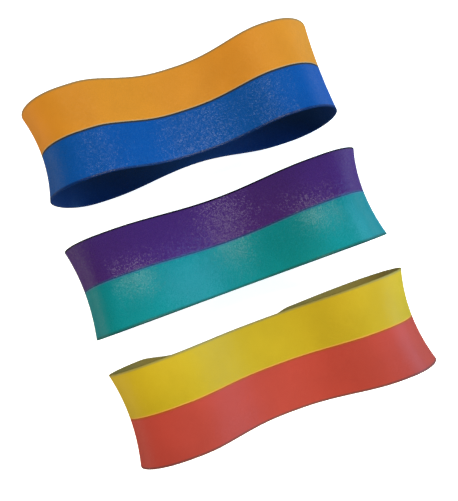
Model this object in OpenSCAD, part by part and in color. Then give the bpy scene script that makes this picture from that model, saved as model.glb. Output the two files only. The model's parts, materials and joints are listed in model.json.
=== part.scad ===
// Set of three two-tone resistance loop bands, lying loose in a row.
// X runs along each band, Y across the bands, Z up. Units are millimetres.
// Each band is a wide, thin elastomer loop of two coloured strips, bonded edge to edge.
// The loop rests on its back run: rounded ends, and a waist where the two runs come close.
// Each strip is drawn as a left and a right half, which move apart as the loop is pulled long.

/* [Loop] */
// Length of a band from end to end, as it lies
band_l = 270; // [200:1:360]
// Outer radius of the rounded ends
end_r = 32; // [20:0.5:45]
// Height of the loop at its waist, outside to outside
waist_h = 22; // [8:0.5:36]
// Length of the level stretch that a rounded end rests on
rest_l = 9; // [4:0.5:16]
// Thickness of the elastomer
wall = 1.3; // [0.6:0.1:3]

/* [Strips] */
// Width of the orange strip
orange_w = 41; // [15:0.5:70]
// Width of the blue strip
blue_w = 41; // [15:0.5:70]
// Width of the purple strip
purple_w = 41; // [15:0.5:70]
// Width of the teal strip
teal_w = 41; // [15:0.5:70]
// Width of the yellow strip
yellow_w = 41; // [15:0.5:70]
// Width of the red strip
red_w = 41; // [15:0.5:70]

/* [Row] */
// Clear space between the orange and blue band and the purple and teal band, where they come nearest
back_gap = 37; // [5:0.5:80]
// Clear space between the purple and teal band and the yellow and red band
front_gap = 31.5; // [5:0.5:80]
// Turn of the orange and blue band about the vertical, in degrees
back_turn = -2; // [-10:0.5:10]
// How far the orange and blue band lies to the right of the purple and teal band
back_shift = 3; // [-30:0.5:30]
// How far the yellow and red band lies to the right of the purple and teal band
front_shift = 0; // [-30:0.5:30]

/* [Clearance] */
// Space between the left and right half of a strip at rest
half_gap = 0.3; // [0.2:0.05:0.6]

/* [Hidden] */
$fn = 96;

// Centre of a rounded end, and where the sloping run starts
end_x = band_l / 2 - end_r;
run_l = end_x - rest_l;
run_steps = 24;

// Band widths across Y
back_w = orange_w + blue_w;
mid_w = purple_w + teal_w;
front_w = yellow_w + red_w;

// Half the space that the turned back band takes along X and along Y
back_half_x = band_l / 2 * cos(back_turn) + back_w / 2 * abs(sin(back_turn));
back_half_y = band_l / 2 * abs(sin(back_turn)) + back_w / 2 * cos(back_turn);

// Band centres, counted from the middle band's centre
back_y = mid_w / 2 + back_gap + back_half_y;
front_y = -mid_w / 2 - front_gap - front_w / 2;

// The row's own middle, which is moved to the origin
row_x = (max(back_shift + back_half_x, front_shift + band_l / 2, band_l / 2)
       + min(back_shift - back_half_x, front_shift - band_l / 2, -band_l / 2)) / 2;
row_y = (back_y + back_half_y + front_y - front_w / 2) / 2;

// Height of the outer face of a run above the loop's middle, x from the waist, and its slope
function run_z(x) = waist_h / 2 + (end_r - waist_h / 2) * (1 - cos(180 * x / run_l)) / 2;
function run_slope(x) = (end_r - waist_h / 2) * PI / (2 * run_l) * sin(180 * x / run_l);

// The inner face lies one wall below the outer one, measured square to the run
function inner_z(x) = run_z(x) - wall * sqrt(1 + pow(run_slope(x), 2));

// One run from the waist to the rounded end; level is 1 for the upper run, -1 for the run underneath
module run_section(level) {
    xs = [for (i = [0:run_steps]) half_gap / 2 + (run_l - half_gap / 2) * i / run_steps];
    outer = concat([for (x = xs) [x, level * run_z(x)]], [[end_x, level * end_r]]);
    inner = concat([for (x = xs) [x, level * inner_z(x)]], [[end_x, level * (end_r - wall)]]);
    near = level > 0 ? inner : outer;
    far = level > 0 ? outer : inner;
    polygon(concat(near, [for (i = [len(far) - 1:-1:0]) far[i]]));
}

// The rounded end
module end_section() {
    intersection() {
        translate([end_x, 0]) difference() {
            circle(r = end_r);
            circle(r = end_r - wall);
        }
        translate([end_x, -2 * end_r]) square([2 * end_r, 4 * end_r]);
    }
}

// Right half of the loop, seen from its side
module half_section() {
    run_section(1);
    run_section(-1);
    end_section();
}

// Half a strip that spans from y_low up to y_low + strip_w; side is 1 for the right half, -1 for the left
module half_strip(side, y_low, strip_w) {
    translate([0, y_low + strip_w, end_r])
        rotate([90, 0, 0])
            linear_extrude(height = strip_w)
                mirror([side < 0 ? 1 : 0, 0])
                    half_section();
}

module back_place() {
    translate([back_shift - row_x, back_y - row_y, 0]) rotate([0, 0, back_turn]) children();
}

module mid_place() {
    translate([-row_x, -row_y, 0]) children();
}

module front_place() {
    translate([front_shift - row_x, front_y - row_y, 0]) children();
}

module orange_strip(side) {
    color([0.84, 0.56, 0.20]) back_place() half_strip(side, back_w / 2 - orange_w, orange_w);
}

module blue_strip(side) {
    color([0.11, 0.34, 0.65]) back_place() half_strip(side, -back_w / 2, blue_w);
}

module purple_strip(side) {
    color([0.27, 0.18, 0.48]) mid_place() half_strip(side, mid_w / 2 - purple_w, purple_w);
}

module teal_strip(side) {
    color([0.14, 0.55, 0.60]) mid_place() half_strip(side, -mid_w / 2, teal_w);
}

module yellow_strip(side) {
    color([0.78, 0.67, 0.20]) front_place() half_strip(side, front_w / 2 - yellow_w, yellow_w);
}

module red_strip(side) {
    color([0.73, 0.30, 0.26]) front_place() half_strip(side, -front_w / 2, red_w);
}

orange_strip(-1);  // orange_strip_left
orange_strip(1);  // orange_strip_right
blue_strip(-1);  // blue_strip_left
blue_strip(1);  // blue_strip_right
purple_strip(-1);  // purple_strip_left
purple_strip(1);  // purple_strip_right
teal_strip(-1);  // teal_strip_left
teal_strip(1);  // teal_strip_right
yellow_strip(-1);  // yellow_strip_left
yellow_strip(1);  // yellow_strip_right
red_strip(-1);  // red_strip_left
red_strip(1);  // red_strip_right
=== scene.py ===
import json
import math
import bpy
import bmesh
from mathutils import Matrix, Vector


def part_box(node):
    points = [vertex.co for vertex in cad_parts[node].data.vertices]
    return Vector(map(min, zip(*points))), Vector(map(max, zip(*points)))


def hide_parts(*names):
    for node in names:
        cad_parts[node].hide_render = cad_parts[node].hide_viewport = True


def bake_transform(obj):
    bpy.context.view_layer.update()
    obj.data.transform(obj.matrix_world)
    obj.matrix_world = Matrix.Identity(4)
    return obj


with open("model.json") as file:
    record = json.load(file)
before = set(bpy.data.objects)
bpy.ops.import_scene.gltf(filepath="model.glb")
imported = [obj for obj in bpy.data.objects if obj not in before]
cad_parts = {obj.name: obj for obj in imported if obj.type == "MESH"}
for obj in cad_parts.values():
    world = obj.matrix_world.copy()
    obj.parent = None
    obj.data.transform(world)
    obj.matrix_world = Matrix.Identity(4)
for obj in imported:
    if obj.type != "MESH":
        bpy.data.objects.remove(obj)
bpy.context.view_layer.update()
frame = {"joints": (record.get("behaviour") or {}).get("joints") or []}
scene = bpy.context.scene
scene.view_settings.view_transform = "Standard"

# The camera hangs over the row and looks almost straight down
cameraSetup = {
    "place": (-0.0158, -0.0520, 0.3670),
    "tilt": 3.39,        # degrees away from straight down
    "roll": -20.2,       # degrees that the frame is turned about the vertical
    "lens": 26.95,       # with the sensor, in millimetres
    "sensor": 36.0,
    "shiftUp": 0.0473,
    "nearest": 0.01,
    "farthest": 20.0,
}


def makeCamera():
    data = bpy.data.cameras.new("camera")
    data.sensor_width = cameraSetup["sensor"]
    data.lens = cameraSetup["lens"]
    data.shift_y = cameraSetup["shiftUp"]
    data.clip_start = cameraSetup["nearest"]
    data.clip_end = cameraSetup["farthest"]
    view = bpy.data.objects.new("camera", data)
    view.location = cameraSetup["place"]
    view.rotation_euler = (math.radians(cameraSetup["tilt"]), 0, math.radians(cameraSetup["roll"]))
    scene.collection.objects.link(view)
    scene.camera = view


makeCamera()
print("camera placed")

# What the three loops share, in metres
loop = {
    "wall": 0.0013,
    "flareRoom": 0.0042,     # length kept back at each end for the edges to flare into
    "lowLevel": 0.009,       # level length of the lower run beside each end
    "aroundSteps": 288,
    "acrossSteps": 14,
    "relaxRounds": 4,
    "relaxFactor": 0.5,
    "edgeRound": 0.0003,
    "edgeRow": 0.0022,       # width of the narrow row of faces beside each cut edge and the seam
    "cutFacing": 0.7,        # a wall face that points this much along the width belongs to a cut edge
    "blendInset": 0.01,      # how far inside a band's ends its stretching starts
}

# How each band lies. Heights are measured from halfway up the loop. The groove is between its two strips.
# At each end, crest and level are the height and length of the level stretch of the upper run. tip is the
# length of the rounded end, with lowTip for the lower run where that differs from the end's radius. flare
# carries both edges outwards, farFlare the far one outwards and the near one inwards, reach the whole end
bands = {
    "orange_blue": {
        "waistShift": 0.0006,    # how far the waist is right of the middle
        "waistUp": 0.0113,
        "waistDown": 0.0100,
        "ease": 1.32,        # above 1 keeps the waist low for longer before the run climbs
        "edgeRise": 0.057,   # share by which the upper run's edges are above its middle, below 0 if crowned
        "farRise": 0.014,    # share by which its far edge is raised and its near edge lowered
        "left": {"crest": 0.0311, "level": 0.011, "tip": 0.046,
                 "flare": 0.0060, "farFlare": 0.0011, "reach": 0.0009},
        "right": {"crest": 0.0304, "level": 0.007, "tip": 0.039,
                  "flare": 0.0015, "farFlare": -0.0011, "reach": 0.0015, "lowTip": 0.042},
        "groove": 0.0005,
    },
    "purple_teal": {
        "waistShift": 0.0044,
        "waistUp": 0.0132,
        "waistDown": 0.0110,
        "ease": 1.04,
        "edgeRise": -0.15,
        "farRise": -0.15,
        "left": {"crest": 0.0405, "level": 0.011, "tip": 0.0365,
                 "flare": 0.0052, "farFlare": 0.0016, "reach": -0.0001},
        "right": {"crest": 0.0375, "level": 0.012, "tip": 0.0365,
                  "flare": 0.0067, "farFlare": 0.0011, "reach": -0.0004},
        "groove": 0.0002,
    },
    "yellow_red": {
        "waistShift": 0.0014,
        "waistUp": 0.0098,
        "waistDown": 0.0102,
        "ease": 1.25,
        "edgeRise": 0.143,
        "farRise": -0.007,
        "left": {"crest": 0.0287, "level": 0.008, "tip": 0.051,
                 "flare": 0.0048, "farFlare": 0.0004, "reach": 0.0},
        "right": {"crest": 0.0296, "level": 0.009, "tip": 0.034,
                  "flare": 0.0055, "farFlare": 0.0004, "reach": 0.0003},
        # The lower run lies nearer around here. atMiddle is the share of the depth halfway across the band
        "tuck": {"place": -0.040, "halfLength": 0.075, "depth": 0.0075, "atMiddle": 0.75},
        "groove": 0.0002,
    },
}


def bandSizes(name):
    # The middle of a band, its turn, half its length and width, and the radius of its ends
    far, near = name.split("_")
    corners = [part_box(f"{strip}_strip_{side}") for strip in (far, near) for side in ("left", "right")]
    low = Vector(min(c[0][i] for c in corners) for i in range(3))
    high = Vector(max(c[1][i] for c in corners) for i in range(3))
    along = Vector(next(j["axis"] for j in frame["joints"] if j["name"] == f"{name}_stretch"))
    turn = math.atan2(along.y, along.x)
    spanX, spanY, height = high - low   # of the turned band's box, so the turn is taken out of them below
    c, s = math.cos(turn), abs(math.sin(turn))
    return {
        "middle": (low + high) / 2,
        "turn": turn,
        "halfLength": (spanX * c - spanY * s) / (c * c - s * s) / 2,
        "halfWidth": (spanY * c - spanX * s) / (c * c - s * s) / 2,
        "endRadius": height / 2,
    }


def quarterPoint(way, halfLength, waist, side, ease, shift):
    # From the waist (way 0) along the run and the level stretch to the tip (way 1)
    endX = halfLength - side["tip"]
    runLength = endX - side["level"]
    arc = (side["crest"] + side["tip"]) / 2 * math.pi / 2
    reach = way * (runLength + side["level"] + arc)
    if reach < runLength:
        share = reach / runLength
        rise = (side["crest"] - waist) * (1 - math.cos(math.pi * share ** ease)) / 2
        return runLength * share + shift * (1 - share), waist + rise
    if reach < runLength + side["level"]:
        return reach, side["crest"]
    angle = (reach - runLength - side["level"]) / arc * math.pi / 2
    return endX + side["tip"] * math.sin(angle), side["crest"] * math.cos(angle)


def layOnProfile(vert, size, lie):
    # A point on the starting circle goes to its place on the loop's side view
    turns = math.atan2(abs(vert.co.y), abs(vert.co.x)) / (math.pi / 2)
    sign = math.copysign(1, vert.co.x)
    halfLength = size["halfLength"] - loop["flareRoom"]
    if vert.co.y >= 0:
        side = lie["left"] if sign < 0 else lie["right"]
        waist, ease = lie["waistUp"], lie["ease"]
    else:
        lowTip = (lie["left"] if sign < 0 else lie["right"]).get("lowTip", size["endRadius"])
        side = {"crest": size["endRadius"], "tip": lowTip, "level": loop["lowLevel"]}
        waist, ease = lie["waistDown"], 1.0   # an even climb
    x, z = quarterPoint(1 - turns, halfLength, waist, side, ease, sign * lie["waistShift"])
    vert.co = Vector((sign * x, 0, math.copysign(z, vert.co.y)))


def rowPlaces(low, high):
    # Places of the rows of faces across a strip, closer together at the cut edges
    inner = [low + loop["edgeRow"] + (high - low - 2 * loop["edgeRow"]) * i / loop["acrossSteps"]
             for i in range(loop["acrossSteps"] + 1)]
    return [low] + inner + [high]


def flareAndCrown(vert, size, lie):
    across = vert.co.y / size["halfWidth"]
    halfLength = size["halfLength"] - loop["flareRoom"]
    side = lie["left"] if vert.co.x < 0 else lie["right"]
    further = side["flare"] * across ** 2 + side["farFlare"] * across + side["reach"]
    vert.co.x *= 1 + further / halfLength
    if vert.co.z > 0:
        vert.co.z *= 1 + lie["edgeRise"] * across ** 2 + lie["farRise"] * across
    elif "tuck" in lie:
        tuck = lie["tuck"]
        away = min(1, abs(vert.co.x - tuck["place"]) / tuck["halfLength"])
        share = tuck["atMiddle"] + (1 - tuck["atMiddle"]) * across
        vert.co.y -= tuck["depth"] * (1 - away ** 4) ** 2 * share   # flat in its middle, smooth at its ends


def giveWall(bm):
    # The wall grows inwards, so the rolled sheet stays as the outer face
    outerFaces = set(bm.faces)
    bmesh.ops.solidify(bm, geom=bm.faces[:], thickness=loop["wall"])
    bm.normal_update()
    for face in bm.faces:
        if face not in outerFaces:
            face.material_index = 2 if abs(face.normal.y) > loop["cutFacing"] else 1


def roundEdges(bm, lie):
    # The edge where the two strips meet is rounded by the groove's own size
    corners = [edge for edge in bm.edges
               if len({face.material_index for face in edge.link_faces}) == 2]
    for atSeam, size in ((True, lie["groove"]), (False, loop["edgeRound"])):
        chosen = [edge for edge in corners
                  if edge.is_valid and (abs(edge.verts[0].co.y) < loop["edgeRow"] / 2) == atSeam]
        bmesh.ops.bevel(bm, geom=chosen, offset=size, offset_type="OFFSET", segments=2, profile=0.5,
                        affect="EDGES", material=2, clamp_overlap=True)


def markEdges(bm, low, high):
    # Two vertex values run from 1 at an edge to 0 one narrow row away, for the cut edge and for the join
    # These values place the painted shade along the cut edges and the join's tint, which is partly painted
    # shade
    layers = {"cutEdge": bm.verts.layers.float.new("cutEdge"), "join": bm.verts.layers.float.new("join")}
    for vert in bm.verts:
        for place in (low, high):
            layer = layers["join" if place == 0 else "cutEdge"]
            vert[layer] = max(vert[layer], 1 - min(1, abs(vert.co.y - place) / loop["edgeRow"]))


def makeStrip(name, bandName, low, high):
    # low and high are the strip's edges across the band, as shares of half its width
    size, lie = bandSizes(bandName), bands[bandName]
    bm = bmesh.new()
    bmesh.ops.create_circle(bm, cap_ends=False, segments=loop["aroundSteps"], radius=1.0)
    for vert in bm.verts:
        layOnProfile(vert, size, lie)
    for _ in range(loop["relaxRounds"]):
        bmesh.ops.smooth_vert(bm, verts=bm.verts, factor=loop["relaxFactor"],
                              use_axis_x=True, use_axis_z=True)
    places = rowPlaces(low * size["halfWidth"], high * size["halfWidth"])
    bmesh.ops.translate(bm, vec=(0, places[0], 0), verts=bm.verts)
    edges = bm.edges[:]
    for before, after in zip(places, places[1:]):
        pulled = bmesh.ops.extrude_edge_only(bm, edges=edges)["geom"]
        fresh = {piece for piece in pulled if isinstance(piece, bmesh.types.BMVert)}
        bmesh.ops.translate(bm, vec=(0, after - before, 0), verts=list(fresh))
        edges = [piece for piece in pulled if isinstance(piece, bmesh.types.BMEdge)
                 and all(vert in fresh for vert in piece.verts)]
    markEdges(bm, places[0], places[-1])
    for vert in bm.verts:
        flareAndCrown(vert, size, lie)
    bmesh.ops.recalc_face_normals(bm, faces=bm.faces)
    giveWall(bm)
    roundEdges(bm, lie)
    place = Matrix.Translation(size["middle"]) @ Matrix.Rotation(size["turn"], 4, "Z")
    bmesh.ops.transform(bm, matrix=place, verts=bm.verts)
    for face in bm.faces:
        face.smooth = True
    mesh = bpy.data.meshes.new(name)
    bm.to_mesh(mesh)
    bm.free()
    piece = bpy.data.objects.new(name, mesh)
    scene.collection.objects.link(piece)
    return piece


# Finish of each strip: its pigment, its inner face in a darker colour as painted shade, the line along its
# cut edge, which with the cut edge itself is darkened as painted shade, the line where it meets its
# neighbour and the groove between them, both blended towards the neighbour's colour and darkened as painted
# shade most on the orange and blue band, how far its pebbles' tops lean to catch a lamp, and its roughness
# from a pebble's top to the dips between
elastomer = {
    "orange": {
        "pigment": (0.488, 0.1780, 0.0130),
        "insidePaintedShade": (0.200, 0.070, 0.006),
        "edge": (0.250, 0.135, 0.042),
        "join": (0.310, 0.205, 0.105),
        "groove": (0.040, 0.034, 0.030),
        "lean": 0.12,
        "roughness": (0.30, 0.42),
    },
    "blue": {
        "pigment": (0.001, 0.054, 0.245),
        "insidePaintedShade": (0.006, 0.026, 0.115),
        "edge": (0.001, 0.014, 0.080),
        "join": (0.020, 0.028, 0.045),
        "groove": (0.014, 0.020, 0.034),
        "lean": 0.22,
        "roughness": (0.16, 0.28),
    },
    "purple": {
        "pigment": (0.0435, 0.0130, 0.112),
        "insidePaintedShade": (0.014, 0.004, 0.034),
        "edge": (0.001, 0.0005, 0.003),
        "join": (0.020, 0.030, 0.105),
        "groove": (0.006, 0.026, 0.080),
        "lean": 0.28,
        "roughness": (0.16, 0.28),
    },
    "teal": {
        "pigment": (0.0015, 0.153, 0.181),
        "insidePaintedShade": (0.002, 0.056, 0.070),
        "edge": (0.004, 0.075, 0.080),
        "join": (0.030, 0.115, 0.200),
        "groove": (0.006, 0.028, 0.080),
        "lean": 0.18,
        "roughness": (0.18, 0.30),
    },
    "yellow": {
        "pigment": (0.356, 0.243, 0.0075),
        "insidePaintedShade": (0.225, 0.175, 0.045),
        "edge": (0.225, 0.175, 0.040),
        "join": (0.400, 0.185, 0.030),
        "groove": (0.300, 0.072, 0.008),
        "lean": 0.10,
        "roughness": (0.32, 0.44),
    },
    "red": {
        "pigment": (0.327, 0.0368, 0.0264),
        "insidePaintedShade": (0.128, 0.011, 0.007),
        "edge": (0.130, 0.030, 0.028),
        "join": (0.300, 0.050, 0.010),
        "groove": (0.300, 0.068, 0.008),
        "lean": 0.10,
        "roughness": (0.32, 0.44),
    },
    "patchSize": 0.045,
    "patchDepth": 0.10,      # share by which a patch is darker than the pigment
    "patchDetail": 3.0,
    "patchFade": (0.35, 0.65),
    "lineWidth": {"cutEdge": 0.0022, "join": 0.0016},
    "grainSize": 0.0008,
    "grainDepth": 0.00003,
    "grainDip": 0.6,         # how far from a pebble's top the dip beside it is reached, in pebble sizes
    "slant": (0.20, 0.72),   # where it starts and ends turning matt, from 0 face on to 1 edge on
    "shine": {"outside": 0.15, "insidePaintedShade": 0.08, "cutEdge": 0.03},
}


def link(tree, source, output, target, socket):
    tree.links.new(source.outputs[output], target.inputs[socket])


def tintNear(tree, colour, layer, tone):
    # The tone holds for half the line's width and then fades out. A colour mix has its two colours on
    # sockets 6 and 7, and gives its result on socket 2
    width = elastomer["lineWidth"][layer] / loop["edgeRow"]
    value = tree.nodes.new("ShaderNodeAttribute")
    value.attribute_name = layer
    fade = tree.nodes.new("ShaderNodeMapRange")
    fade.inputs["From Min"].default_value = 1 - width
    fade.inputs["From Max"].default_value = 1 - width / 2
    mix = tree.nodes.new("ShaderNodeMix")
    mix.data_type = "RGBA"
    mix.inputs[7].default_value = (*tone, 1)
    link(tree, value, "Fac", fade, "Value")
    tree.links.new(fade.outputs["Result"], mix.inputs[0])
    tree.links.new(colour, mix.inputs[6])
    return mix.outputs[2]


def makeElastomer(strip, part):
    # part is the outer face, the inner face or the cut edge. The inner face and the cut edge take darker
    # colours than the pigment, which are painted shade
    finish = elastomer[strip]
    pigment = list(finish[{"outside": "pigment", "insidePaintedShade": "insidePaintedShade", "cutEdge": "edge"}[part]])
    material = bpy.data.materials.new(f"{strip}_elastomer_{part}")
    material.use_nodes = True
    tree = material.node_tree
    shader = tree.nodes["Principled BSDF"]
    shader.inputs["Specular IOR Level"].default_value = elastomer["shine"][part]
    place = tree.nodes.new("ShaderNodeTexCoord")

    patches = tree.nodes.new("ShaderNodeTexNoise")
    patches.inputs["Scale"].default_value = 1 / elastomer["patchSize"]
    patches.inputs["Detail"].default_value = elastomer["patchDetail"]
    link(tree, place, "Object", patches, "Vector")
    tones = tree.nodes.new("ShaderNodeValToRGB")
    tones.color_ramp.elements[0].position = elastomer["patchFade"][0]
    tones.color_ramp.elements[0].color = [c * (1 - elastomer["patchDepth"]) for c in pigment] + [1]
    tones.color_ramp.elements[1].position = elastomer["patchFade"][1]
    tones.color_ramp.elements[1].color = pigment + [1]
    link(tree, patches, "Fac", tones, "Fac")
    colour = tones.outputs["Color"]
    if part == "outside":
        # A darker line along the cut edge, painted shade
        colour = tintNear(tree, colour, "cutEdge", finish["edge"])
        # The line at the join is blended towards the neighbour's colour and darkened as painted shade, most
        # on the orange and blue band
        colour = tintNear(tree, colour, "join", finish["join"])
    elif part == "cutEdge":
        # At the join the groove's faces get the groove tone: the neighbour's colour blended in, and darker
        # as painted shade
        colour = tintNear(tree, colour, "join", finish["groove"])
    tree.links.new(colour, shader.inputs["Base Color"])

    grain = tree.nodes.new("ShaderNodeTexVoronoi")
    grain.inputs["Scale"].default_value = 1 / elastomer["grainSize"]
    link(tree, place, "Object", grain, "Vector")
    gloss = tree.nodes.new("ShaderNodeMapRange")
    gloss.inputs["From Max"].default_value = elastomer["grainDip"]
    gloss.inputs["To Min"].default_value = finish["roughness"][0]
    gloss.inputs["To Max"].default_value = finish["roughness"][1]
    link(tree, grain, "Distance", gloss, "Value")
    # The pebbles hide each other where the rubber is seen edge on, so it looks matt there
    slant = tree.nodes.new("ShaderNodeLayerWeight")
    slant.inputs["Blend"].default_value = 0.5
    matt = tree.nodes.new("ShaderNodeMapRange")
    matt.inputs["From Min"].default_value = elastomer["slant"][0]
    matt.inputs["From Max"].default_value = elastomer["slant"][1]
    matt.inputs["To Min"].default_value = finish["roughness"][0]
    matt.inputs["To Max"].default_value = 1.0
    link(tree, slant, "Facing", matt, "Value")
    rougher = tree.nodes.new("ShaderNodeMath")
    rougher.operation = "MAXIMUM"
    tree.links.new(gloss.outputs["Result"], rougher.inputs[0])
    tree.links.new(matt.outputs["Result"], rougher.inputs[1])
    link(tree, rougher, "Value", shader, "Roughness")

    # Each pebble has its own chance colour, which is centred on zero and tilts its top
    facing = tree.nodes.new("ShaderNodeNewGeometry")
    centred = tree.nodes.new("ShaderNodeVectorMath")
    centred.operation = "SUBTRACT"
    centred.inputs[1].default_value = (0.5, 0.5, 0.5)
    leaning = tree.nodes.new("ShaderNodeVectorMath")
    leaning.operation = "MULTIPLY_ADD"
    leaning.inputs[1].default_value = [finish["lean"]] * 3
    link(tree, grain, "Color", centred, "Vector")
    tree.links.new(centred.outputs["Vector"], leaning.inputs[0])
    tree.links.new(facing.outputs["Normal"], leaning.inputs[2])
    facets = tree.nodes.new("ShaderNodeVectorMath")
    facets.operation = "NORMALIZE"
    link(tree, leaning, "Vector", facets, "Vector")
    # The squared distance from its middle makes each pebble a dome
    dome = tree.nodes.new("ShaderNodeMath")
    dome.operation = "POWER"
    dome.inputs[1].default_value = 2.0
    tree.links.new(grain.outputs["Distance"], dome.inputs[0])
    pebbles = tree.nodes.new("ShaderNodeBump")
    pebbles.invert = True
    pebbles.inputs["Strength"].default_value = 1.0
    pebbles.inputs["Distance"].default_value = elastomer["grainDepth"]
    link(tree, dome, "Value", pebbles, "Height")
    link(tree, facets, "Vector", pebbles, "Normal")
    link(tree, pebbles, "Normal", shader, "Normal")
    return material


def makeBand(name):
    far, near = name.split("_")
    for strip, low, high in ((far, 0, 1), (near, -1, 0)):
        piece = makeStrip(f"{strip}_strip", name, low, high)
        # The inner face and the cut edge each get their own material, in darker colours that are painted
        # shade
        for part in ("outside", "insidePaintedShade", "cutEdge"):
            piece.data.materials.append(makeElastomer(strip, part))
        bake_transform(piece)
        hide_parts(f"{strip}_strip_left", f"{strip}_strip_right")
    print(name, "made")


for bandName in bands:
    makeBand(bandName)

studio = {
    "skyAbove": 0.20,
    "skyAround": 0.75,       # the sky is paler towards the horizon
    "skyFade": 0.5,          # where it reaches its darkest, from 0 level to 1 straight up
    "lamps": {
        "overhead": {"place": (0.03, 0.31, 1.10), "width": 0.9, "length": 0.10, "power": 6.5,
                     "color": (1.0, 0.96, 0.80)},
        "right": {"place": (0.95, -0.10, 0.75), "width": 0.8, "length": 0.8, "power": 15.0,
                  "color": (0.284, 0.669, 1.0)},
        "near": {"place": (0.0, -0.95, 0.65), "width": 0.8, "length": 0.8, "power": 19.0,
                 "color": (1.0, 0.894, 0.518)},
    },
    "floorHalfSize": 10.0,
    "floorColor": 0.80,
    "floorRoughness": 0.9,
    "floorShine": 0.1,
    "floorGlow": 0.80,       # the floor is a lit table, so little shadow shows on it
}


def makeLight(name, setup):
    data = bpy.data.lights.new(name, "AREA")
    data.shape = "RECTANGLE"
    data.size = setup["width"]
    data.size_y = setup["length"]
    data.energy = setup["power"]
    data.color = setup["color"]
    lamp = bpy.data.objects.new(name, data)
    lamp.location = setup["place"]
    lamp.rotation_euler = (-Vector(setup["place"])).to_track_quat("-Z", "Y").to_euler()
    scene.collection.objects.link(lamp)


def makeSky():
    world = bpy.data.worlds.new("studio")
    world.use_nodes = True
    tree = world.node_tree
    direction = tree.nodes.new("ShaderNodeTexCoord")
    height = tree.nodes.new("ShaderNodeSeparateXYZ")
    link(tree, direction, "Generated", height, "Vector")
    ramp = tree.nodes.new("ShaderNodeMapRange")
    ramp.interpolation_type = "SMOOTHSTEP"
    ramp.inputs["From Max"].default_value = studio["skyFade"]
    ramp.inputs["To Min"].default_value = studio["skyAround"]
    ramp.inputs["To Max"].default_value = studio["skyAbove"]
    link(tree, height, "Z", ramp, "Value")
    link(tree, ramp, "Result", tree.nodes["Background"], "Color")
    scene.world = world


def makeStudio():
    makeSky()
    for name, setup in studio["lamps"].items():
        makeLight(name, setup)

    bm = bmesh.new()
    bmesh.ops.create_grid(bm, x_segments=1, y_segments=1, size=studio["floorHalfSize"])
    mesh = bpy.data.meshes.new("floor")
    bm.to_mesh(mesh)
    bm.free()
    floor = bpy.data.objects.new("floor", mesh)
    scene.collection.objects.link(floor)
    paint = bpy.data.materials.new("floor_white")
    paint.use_nodes = True
    shader = paint.node_tree.nodes["Principled BSDF"]
    shader.inputs["Base Color"].default_value = (*[studio["floorColor"]] * 3, 1)
    shader.inputs["Roughness"].default_value = studio["floorRoughness"]
    shader.inputs["Specular IOR Level"].default_value = studio["floorShine"]
    shader.inputs["Emission Color"].default_value = (1, 1, 1, 1)
    shader.inputs["Emission Strength"].default_value = studio["floorGlow"]
    mesh.materials.append(paint)


makeStudio()
print("studio made")
